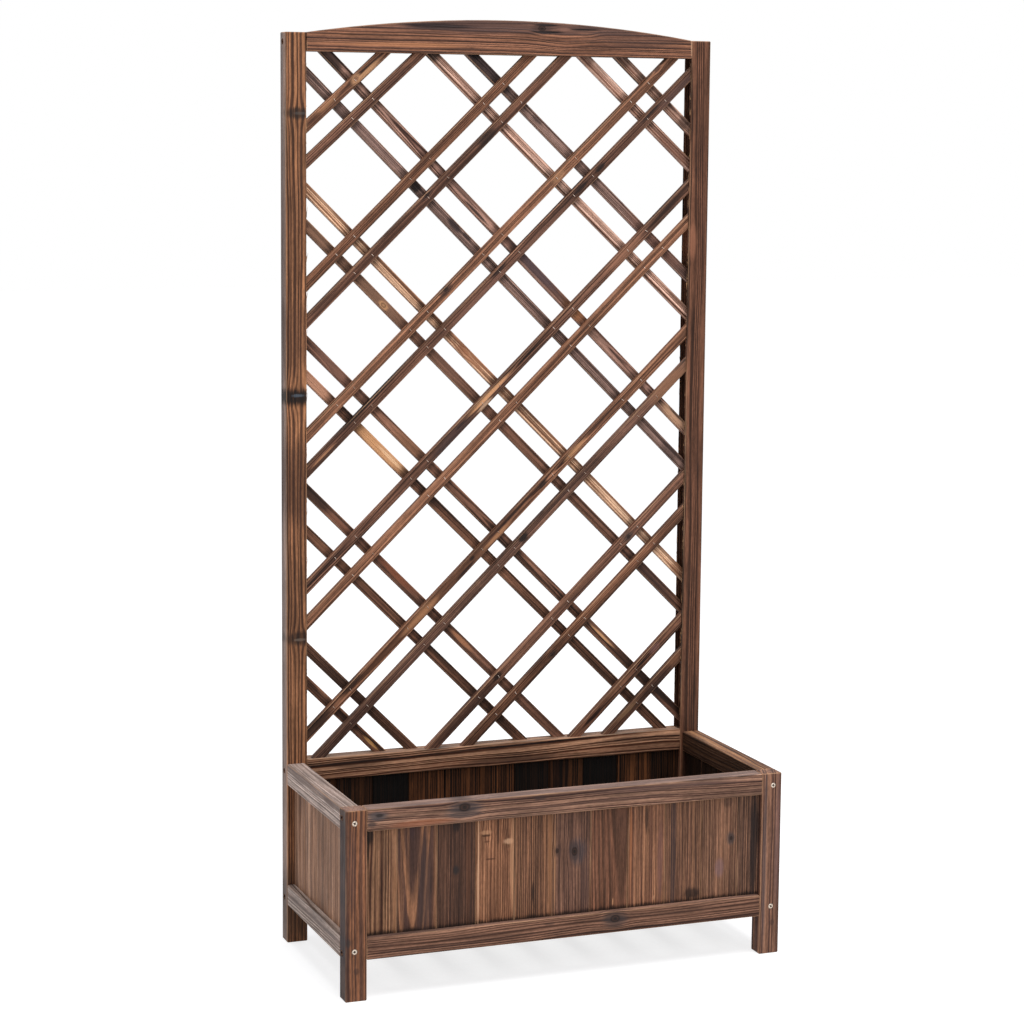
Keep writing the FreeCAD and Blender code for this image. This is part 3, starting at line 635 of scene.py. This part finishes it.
slat("rear", 6, "umber", FLAT_SAWN, taper=0.012, bends=((-330, 0, 5),),
    marks=((-330, 0, 60, 14, "8a6252", 0.6), (205, 1, 26, 2.0, "dca678", 0.85),
    (-190, 0, 30, 12, "80593f", 0.5), (290, 0, 70, 14, "2a1c17", 0.5)))
slat("rear", 7, "umber", bends=((-210, -1, 5), (-365, 0, 4)), marks=((-270, 0, 140, 15, "86644f", 0.6),
    (-210, -1, 8.5, 5, "c29066", 0.8), (-210, -1, 4.6, 3.0, "33221a", 0.85),
    (-210, -1, 3.0, 1.9, "a87c5a", 0.9), (-362, 0, 8, 4, "3f271c", 0.8),
    (-100, 0, 50, 14, "7a5848", 0.5), (330, 0, 60, 14, "302424", 0.5)))
slat("rear", 8, "tan", rings=3.0, bends=((-80, 0, 4),), marks=((-84, 1, 10, 6, "7d4e36", 0.7),
    (-66, 0, 20, 6, "a36f50", 0.6), (365, 0, 14, 14, "86573d", 0.6)))
slat("rear", 9, "plum", marks=((-147, 0, 9, 15, "120e0d", 0.95), (-72, 1, 14, 5, "2b2022", 0.85),
    (-50, 3, 8, 3, "241b1c", 0.8), (-350, 2, 30, 4, "2f2423", 0.5), (375, 0, 20, 15, "2a201f", 0.6),
    (-260, 0, 60, 14, "7d625a", 0.4)))
slat("rear", 10, "mauve", FLAT_SAWN, taper=0.015, bends=((-62, -2, 5),),
    marks=((-345, 0, 24, 15, "221916", 0.85), (-62, -3, 26, 2.2, "261a17", 0.9),
    (-85, 1, 30, 1.6, "33221d", 0.7), (50, 2, 50, 8, "4f4246", 0.65), (135, 0, 22, 15, "a26a44", 0.8),
    (345, 0, 28, 11, "c69a78", 0.7), (345, 5, 16, 3, "241a18", 0.8)))
slat("rear", 11, "blush", rings=2.8, marks=((-255, 0, 14, 15, "2b1f18", 0.9),
    (230, 3, 20, 5, "5d3f31", 0.6)))
slat("rear", 12, "plum", marks=((-185, 0, 50, 15, "2b2224", 0.8), (150, 0, 60, 15, "80594a", 0.55),
    (-215, 2, 10, 6, "110d0e", 0.85), (-90, 1, 10, 4, "2c2222", 0.6), (0, 3, 60, 3, "8c6c60", 0.5)))
slat("rear", 13, "blush", marks=((75, 0, 40, 15, "6b4637", 0.6), (-100, 0, 12, 14, "4a3027", 0.6)))
slat("rear", 14, "blush", marks=((-64, 0, 14, 14, "241815", 0.6), (30, 3, 14, 3, "3a2822", 0.6),
    (60, 0, 10, 14, "2c1e19", 0.7)))

# ---- Screws ----
# Eighteen wood screws with a cross recess, zinc-plated steel: cold-headed, then tumbled bright.
# Each recess is laid black, darker with depth: painted shade. They stand where the CAD's screws stand.


def islands(node):
    """The separate solids of a node, each as the places of its corners."""
    whole = bmesh.new()
    whole.from_mesh(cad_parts[node].data)
    bmesh.ops.remove_doubles(whole, verts=whole.verts, dist=1e-6)
    seen = set()
    found = []
    for start in whole.verts:
        if start in seen:
            continue
        seen.add(start)
        group = [start]
        for corner in group:
            for edge in corner.link_edges:
                other = edge.other_vert(corner)
                if other not in seen:
                    seen.add(other)
                    group.append(other)
        found.append([corner.co.copy() for corner in group])
    whole.free()
    return found


def marked_points(name, places, directions):
    """A mesh of loose points, with a direction attribute for each name in directions."""
    points = bpy.data.meshes.new(name)
    points.from_pydata(places, [], [])
    for key, values in directions.items():
        layer = points.attributes.new(key, "FLOAT_VECTOR", "POINT")
        for index, value in enumerate(values):
            layer.data[index].vector = value
    return points


def new_tree(name, inputs):
    """A geometry tree with named inputs, each (name, socket kind, first value)."""
    tree = bpy.data.node_groups.new(name, "GeometryNodeTree")
    tree.interface.new_socket("Geometry", in_out="INPUT", socket_type="NodeSocketGeometry")
    for label, kind, value in inputs:
        socket = tree.interface.new_socket(label, in_out="INPUT", socket_type="NodeSocket" + kind)
        if value is not None:
            socket.default_value = value
    tree.interface.new_socket("Geometry", in_out="OUTPUT", socket_type="NodeSocketGeometry")
    return tree, add(tree, "NodeGroupInput").outputs


def grow(name, start, tree, values):
    """Runs a geometry tree on a mesh and keeps what it makes as a plain mesh."""
    piece = show(name, start)
    maker = piece.modifiers.new(name, "NODES")
    maker.node_group = tree
    for item in tree.interface.items_tree:
        if item.in_out == "INPUT" and item.name in values:
            maker[item.identifier] = values[item.name]
    bpy.context.view_layer.update()
    ready = piece.evaluated_get(bpy.context.evaluated_depsgraph_get())
    made = bpy.data.meshes.new_from_object(ready)
    piece.modifiers.clear()
    piece.data = made
    return piece


def facing_out(tree):
    """The rotation that turns a copy's own Z out of the wood."""
    out_of_wood = add(tree, "GeometryNodeInputNamedAttribute", {
        "Name": "outward"}, data_type="FLOAT_VECTOR")
    return add(tree, "FunctionNodeAlignRotationToVector", {"Vector": out_of_wood}, axis="Z")


def spun(tree, aim, least, most, seed):
    """A rotation followed by a random turn about the copy's own Z."""
    spin = add(tree, "FunctionNodeRandomValue", {
        "Min": least, "Max": most, "Seed": seed}, data_type="FLOAT")
    spin = add(tree, "FunctionNodeAxisAngleToRotation", {"Axis": (0, 0, 1), "Angle": spin})
    return add(tree, "FunctionNodeRotateRotation", {
        "Rotation": aim, "Rotate By": spin}, rotation_space="LOCAL")


def end_tree(tree, given, copies, smooth=False):
    """Puts the copies on their points, makes them real, gives them their finish and ends the tree."""
    placed = add(tree, "GeometryNodeInstanceOnPoints", copies)
    real = add(tree, "GeometryNodeRealizeInstances", {"Geometry": placed})
    if smooth:
        real = add(tree, "GeometryNodeSetShadeSmooth", {"Geometry": real})
    finished = add(tree, "GeometryNodeSetMaterial", {"Geometry": real, "Material": given["Finish"]})
    add(tree, "NodeGroupOutput", {"Geometry": finished})


screw_tops = []
screw_outward = []
for corners in islands("frame_screws"):
    low = Vector([min(corner[i] for corner in corners) for i in range(3)])
    high = Vector([max(corner[i] for corner in corners) for i in range(3)])
    long_way = max(range(3), key=lambda i: high[i] - low[i])
    way = Vector([float(i == long_way) for i in range(3)])
    middle = (low + high) / 2
    half = (high - low).dot(way) / 2
    spread = [sum((c - middle - way * (c - middle).dot(way)).length for c in corners
                  if (c - middle).dot(way) * sign > half * 0.9) for sign in (-1, 1)]
    outward = way * (1 if spread[1] > spread[0] else -1)
    screw_tops.append(middle + outward * half)
    screw_outward.append(outward)

# Steel with a thin zinc plate, tumbled: bright and a little mottled, and dull in the recess, where it is
# laid black as painted shade, darker with depth.
zinc, plate = new_finish("tumbled_zinc_plate")
plate_spot = add(plate, "TexCoord").outputs["Object"]
plate_spots = add(plate, "TexNoise", {"Vector": plate_spot, "Scale": 700.0, "Detail": 3.0})
plate_colour = add(plate, "Mix", {
    0: plate_spots, 6: linear("b9a48f"), 7: linear("f6e9da")}, data_type="RGBA")
recess_shade = add(plate, "Attribute", attribute_name="soot").outputs["Fac"]
plate_colour = add(plate, "Mix", {0: recess_shade, 6: plate_colour, 7: linear("1a1412")}, data_type="RGBA")
plate_gloss = add(plate, "MapRange", {0: recess_shade, 3: 0.36, 4: 0.9})
plate_metal = add(plate, "MapRange", {0: recess_shade, 3: 0.55, 4: 0.0})
plate_bump = add(plate, "Bump", {"Strength": 0.25, "Distance": 0.0001, "Height": plate_spots})
plate_skin = add(plate, "BsdfPrincipled", {
    "Base Color": plate_colour, "Roughness": plate_gloss, "Metallic": plate_metal, "Normal": plate_bump})
add(plate, "OutputMaterial", {"Surface": plate_skin})

QUARTER_TURN = 1.5708
HALF_DIAGONAL = 0.7071     # of a square whose side is 1
DOME = 0.45                # how far the rim drops, by the head's height
BLADE_TAPER = 0.45         # the recess's span at its foot, by that at the top
SHADE_TOP = -0.0001         # painted shade starts this far under the top of the head
SHADE_FULL = -0.0006        # and hides the metal from here down
SHANK_OVERLAP = 0.0001     # how far the shank reaches into the head

tree, given = new_tree("crosshead_screws", (
    ("Head width", "Float", 0.0076),
    ("Head height", "Float", 0.0024),
    ("Recess span", "Float", 0.0048),
    ("Recess width", "Float", 0.0017),
    ("Recess depth", "Float", 0.0019),
    ("Shank width", "Float", 0.0036),
    ("Shank length", "Float", 0.040),
    ("Seed", "Int", 7),
    ("Finish", "Material", None),
))

# The head: a cylinder whose rim drops, so that its top is a low dome.
radius = add(tree, "Math", (given["Head width"], 0.5), "MULTIPLY")
blank = add(tree, "GeometryNodeMeshCylinder", {
    "Vertices": 40, "Side Segments": 5, "Fill Segments": 5, "Radius": radius,
    "Depth": given["Head height"]})
own = add(tree, "GeometryNodeInputPosition")
own_axes = add(tree, "SeparateXYZ", (own,))
flat = add(tree, "VectorMath", (own, (1, 1, 0)), "MULTIPLY")
out_share = add(tree, "VectorMath", (flat,), "LENGTH")
out_share = add(tree, "Math", (out_share, radius), "DIVIDE")
rim = add(tree, "Math", (out_share, 5.0), "POWER")
up_share = add(tree, "Math", (own_axes.outputs[2], given["Head height"]), "DIVIDE")
up_share = add(tree, "Math", (up_share, 0.5), "ADD")
dip = add(tree, "Math", (rim, up_share), "MULTIPLY")
dip = add(tree, "Math", (dip, given["Head height"]), "MULTIPLY")
dip = add(tree, "Math", (dip, -DOME), "MULTIPLY")
sink = add(tree, "Math", (given["Head height"], -0.5, dip), "MULTIPLY_ADD")
sink = add(tree, "CombineXYZ", {2: sink})
head = add(tree, "GeometryNodeSetPosition", {"Geometry": blank, "Offset": sink})

# The recess: a tapered blade with four edges, squeezed thin, and a second one across it.
half_diagonal = add(tree, "Math", (given["Recess span"], HALF_DIAGONAL), "MULTIPLY")
half_diagonal_low = add(tree, "Math", (half_diagonal, BLADE_TAPER), "MULTIPLY")
blade_height = add(tree, "Math", (given["Recess depth"], 1.25), "MULTIPLY")
blade = add(tree, "GeometryNodeMeshCone", {
    "Vertices": 4, "Radius Top": half_diagonal, "Radius Bottom": half_diagonal_low,
    "Depth": blade_height})
blade_drop = add(tree, "Math", (given["Recess depth"], -1.0), "MULTIPLY")
blade_drop = add(tree, "CombineXYZ", {2: blade_drop})
blade = add(tree, "GeometryNodeTransform", {
    "Geometry": blade, "Translation": blade_drop, "Rotation": (0, 0, math.radians(45))})
thin = add(tree, "Math", (given["Recess width"], given["Recess span"]), "DIVIDE")
thin = add(tree, "CombineXYZ", (1.0, thin, 1.0))
blade = add(tree, "GeometryNodeTransform", {"Geometry": blade, "Scale": thin})
crossed = add(tree, "GeometryNodeTransform", {"Geometry": blade, "Rotation": (0, 0, math.radians(90))})
cut = add(tree, "GeometryNodeMeshBoolean", {
    "Mesh 1": head, "Mesh 2": [blade, crossed]}, "DIFFERENCE", solver="EXACT")

# Painted shade in the recess, darker with depth, as an attribute that the finish reads.
near_middle = add(tree, "Math", (out_share, 0.72), "LESS_THAN")
below = add(tree, "MapRange", (own_axes.outputs[2], SHADE_TOP, SHADE_FULL))
soot = add(tree, "Math", (near_middle, below), "MULTIPLY")
dusty = add(tree, "GeometryNodeStoreNamedAttribute", {
    "Geometry": cut, "Name": "soot", "Value": soot}, data_type="FLOAT", domain="POINT")

# The shank, hidden in the wood.
shank_radius = add(tree, "Math", (given["Shank width"], 0.5), "MULTIPLY")
tip_radius = add(tree, "Math", (given["Shank width"], 0.12), "MULTIPLY")
shank = add(tree, "GeometryNodeMeshCone", {
    "Vertices": 12, "Side Segments": 6, "Radius Top": shank_radius, "Radius Bottom": tip_radius,
    "Depth": given["Shank length"]})
shank_drop = add(tree, "Math", (given["Shank length"], given["Head height"]), "ADD")
shank_drop = add(tree, "Math", (shank_drop, -1.0, SHANK_OVERLAP), "MULTIPLY_ADD")
shank_drop = add(tree, "CombineXYZ", {2: shank_drop})
shank = add(tree, "GeometryNodeTransform", {"Geometry": shank, "Translation": shank_drop})
one_screw = add(tree, "GeometryNodeJoinGeometry", {"Geometry": [dusty, shank]})
aim = spun(tree, facing_out(tree), 0.0, QUARTER_TURN, given["Seed"])
end_tree(tree, given, {"Points": given["Geometry"], "Instance": one_screw, "Rotation": aim})

screw_points = marked_points("screw_tops", screw_tops, {"outward": screw_outward})
screws = grow("crosshead_screws", screw_points, tree, {"Finish": zinc})
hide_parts("frame_screws")
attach(screws, "root")

# ---- Staples ----
# One staple of galvanised wire through each crossing of two slats, shot in from the front, so no
# two lie quite alike. The crown is bent from flat wire and stands just proud of the slat.

WIRE_MIDDLE = 0.0003       # the wire's middle lies this far behind the crown's front
END_REACH = 0.0015         # the two corners of a crown's end, 1 mm apart, lie closer than this

# The line from a crown's middle to the middle of its end is the way it lies.
crown_middles = []
crown_ways = []
for corners in islands("lattice_staples"):
    front = min(corner.y for corner in corners)
    crown = [corner for corner in corners if corner.y < front + WIRE_MIDDLE]
    middle = sum(crown, Vector()) / len(crown)
    far = max(crown, key=lambda corner: (corner - middle).length)
    end = [corner for corner in crown if (corner - far).length < END_REACH]
    beside = max(end, key=lambda corner: (corner - far).length)
    crown_middles.append(middle + Y * WIRE_MIDDLE)
    crown_ways.append(((far + beside) / 2 - middle).normalized())

tree, given = new_tree("wire_staples", (
    ("Crown", "Float", 0.0040),
    ("Leg", "Float", 0.0110),
    ("Wire", "Float", 0.0007),
    ("Bend", "Float", 0.0006),
    ("Skew", "Float", 0.12),
    ("Seed", "Int", 3),
    ("Finish", "Material", None),
))
line = add(tree, "GeometryNodeMeshLine", {"Count": 4})
number = add(tree, "GeometryNodeInputIndex")
from_middle = add(tree, "Math", (number, 1.5), "SUBTRACT")
side_sign = add(tree, "Math", (from_middle,), "SIGN")
half_crown = add(tree, "Math", (given["Crown"], 0.46), "MULTIPLY")
along_crown = add(tree, "Math", (side_sign, half_crown), "MULTIPLY")
from_middle = add(tree, "Math", (from_middle,), "ABSOLUTE")
is_tip = add(tree, "Math", (from_middle, 1.0), "GREATER_THAN")
depth = add(tree, "Math", (is_tip, given["Leg"]), "MULTIPLY")
depth = add(tree, "Math", (depth, -1.0), "MULTIPLY")
bend_place = add(tree, "CombineXYZ", {0: along_crown, 2: depth})
line = add(tree, "GeometryNodeSetPosition", {"Geometry": line, "Position": bend_place})
path = add(tree, "GeometryNodeMeshToCurve", {"Mesh": line})
path = add(tree, "GeometryNodeFilletCurve", {
    "Curve": path, "Radius": given["Bend"], "Count": 2}, mode="POLY")
wire_radius = add(tree, "Math", (given["Wire"], 0.5), "MULTIPLY")
section = add(tree, "GeometryNodeCurvePrimitiveCircle", {"Resolution": 6, "Radius": wire_radius})
wire = add(tree, "GeometryNodeCurveToMesh", {"Curve": path, "Profile Curve": section, "Fill Caps": True})
crown_way = add(tree, "GeometryNodeInputNamedAttribute", {"Name": "crown"}, data_type="FLOAT_VECTOR")
aim = add(tree, "FunctionNodeAlignRotationToVector", {
    "Rotation": facing_out(tree), "Vector": crown_way}, axis="X", pivot_axis="Z")
less = add(tree, "Math", (given["Skew"], -1.0), "MULTIPLY")
aim = spun(tree, aim, less, given["Skew"], given["Seed"])
end_tree(tree, given, {"Points": given["Geometry"], "Instance": wire, "Rotation": aim}, smooth=True)

# Steel wire, galvanised and drawn flat: a satin coat that weathered unevenly and took on the
# wood's tan, so some staples are duller than others.
galvanised, coat = new_finish("galvanised_staple_wire")
coat_spot = add(coat, "TexCoord").outputs["Object"]
coat_age = add(coat, "TexNoise", {"Vector": coat_spot, "Scale": 14.0, "Detail": 2.0})
coat_age = add(coat, "MapRange", (coat_age, 0.35, 0.65))
coat_colour = add(coat, "Mix", {0: coat_age, 6: linear("a88c78"), 7: linear("ead6c6")}, data_type="RGBA")
coat_skin = add(coat, "BsdfPrincipled", {"Base Color": coat_colour, "Metallic": 0.4, "Roughness": 0.42})
add(coat, "OutputMaterial", {"Surface": coat_skin})

crown_points = marked_points("crown_middles", crown_middles, {
    "outward": [-Y] * len(crown_middles), "crown": crown_ways})
staples = grow("wire_staples", crown_points, tree, {"Finish": galvanised})
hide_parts("lattice_staples")
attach(staples, "root")

# ---- Torn grain in the lattice grooves ----
# The cutter that made the rear posts' grooves tore the fir, so pale splinters, still fixed at one
# end, hang along both lips of each groove and catch the light in the dark.

GROOVE_LIP_X = 0.2718
GROOVE_FRONT_Y = (0.1178, 0.1206)
GROOVE_REAR_Y = (0.1362, 0.1380)
GROOVE_Z = (0.256, 1.168)
SPLINTER_TIP = 0.00002
SPLINTER_CURL = 0.0012     # how far the loose end bends out
FULL_TURN = 6.28

lip_corners = []
lip_faces = []
for side in (-1, 1):
    for near_y, far_y in (GROOVE_FRONT_Y, GROOVE_REAR_Y):
        first = len(lip_corners)
        x = side * GROOVE_LIP_X
        low, high = GROOVE_Z
        lip_corners += [(x, near_y, low), (x, far_y, low), (x, far_y, high), (x, near_y, high)]
        lip_faces.append(tuple(range(first, first + 4)))
lips = bpy.data.meshes.new("groove_lips")
lips.from_pydata(lip_corners, [], lip_faces)

tree, given = new_tree("torn_splinters", (
    ("Density", "Float", 60000.0),
    ("Length", "Float", 0.010),
    ("Width", "Float", 0.0009),
    ("Lean", "Float", 0.16),
    ("Seed", "Int", 11),
    ("Finish", "Material", None),
))
roots = add(tree, "GeometryNodeDistributePointsOnFaces", {
    "Mesh": given["Geometry"], "Density": given["Density"], "Seed": given["Seed"]},
    distribute_method="RANDOM")
half_width = add(tree, "Math", (given["Width"], 0.5), "MULTIPLY")
splinter = add(tree, "GeometryNodeMeshCone", {
    "Vertices": 4, "Side Segments": 3, "Radius Top": SPLINTER_TIP, "Radius Bottom": half_width,
    "Depth": given["Length"]})
curl = add(tree, "GeometryNodeInputPosition")
curl_height = add(tree, "SeparateXYZ", (curl,)).outputs[2]
curl_share = add(tree, "Math", (curl_height, given["Length"]), "DIVIDE")
curl_share = add(tree, "Math", (curl_share, 2.0), "POWER")
curl_out = add(tree, "Math", (curl_share, SPLINTER_CURL), "MULTIPLY")
curl_out = add(tree, "CombineXYZ", (curl_out,))
splinter = add(tree, "GeometryNodeSetPosition", {"Geometry": splinter, "Offset": curl_out})
less = add(tree, "Math", (given["Lean"], -1.0), "MULTIPLY")
least = add(tree, "CombineXYZ", (less, less, 0.0))
most = add(tree, "CombineXYZ", (given["Lean"], given["Lean"], FULL_TURN))
lean = add(tree, "FunctionNodeRandomValue", {
    0: least, 1: most, "Seed": given["Seed"]}, data_type="FLOAT_VECTOR")
size = add(tree, "FunctionNodeRandomValue", {
    0: (0.5, 0.5, 0.25), 1: (1.2, 1.2, 1.3), "Seed": given["Seed"]}, data_type="FLOAT_VECTOR")
end_tree(tree, given, {
    "Points": roots, "Instance": splinter, "Rotation": lean, "Scale": size})

# Raw fir, torn by the cutter: matt and pale, and brown where the flame still caught it.
torn, fibre_tree = new_finish("torn_fir_fibre")
fibre_spot = add(fibre_tree, "TexCoord").outputs["Object"]
fibre_noise = add(fibre_tree, "TexNoise", {"Vector": fibre_spot, "Scale": 60.0, "Detail": 3.0})
fibre_share = add(fibre_tree, "MapRange", (fibre_noise, 0.42, 0.60))
fibre_colour = add(fibre_tree, "Mix", {
    0: fibre_share, 6: linear("3a261a"), 7: linear("b78c64")}, data_type="RGBA")
fibre_skin = add(fibre_tree, "BsdfPrincipled", {"Base Color": fibre_colour, "Roughness": 0.85})
add(fibre_tree, "OutputMaterial", {"Surface": fibre_skin})

splinters = grow("torn_splinters", lips, tree, {"Finish": torn})
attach(splinters, "root")
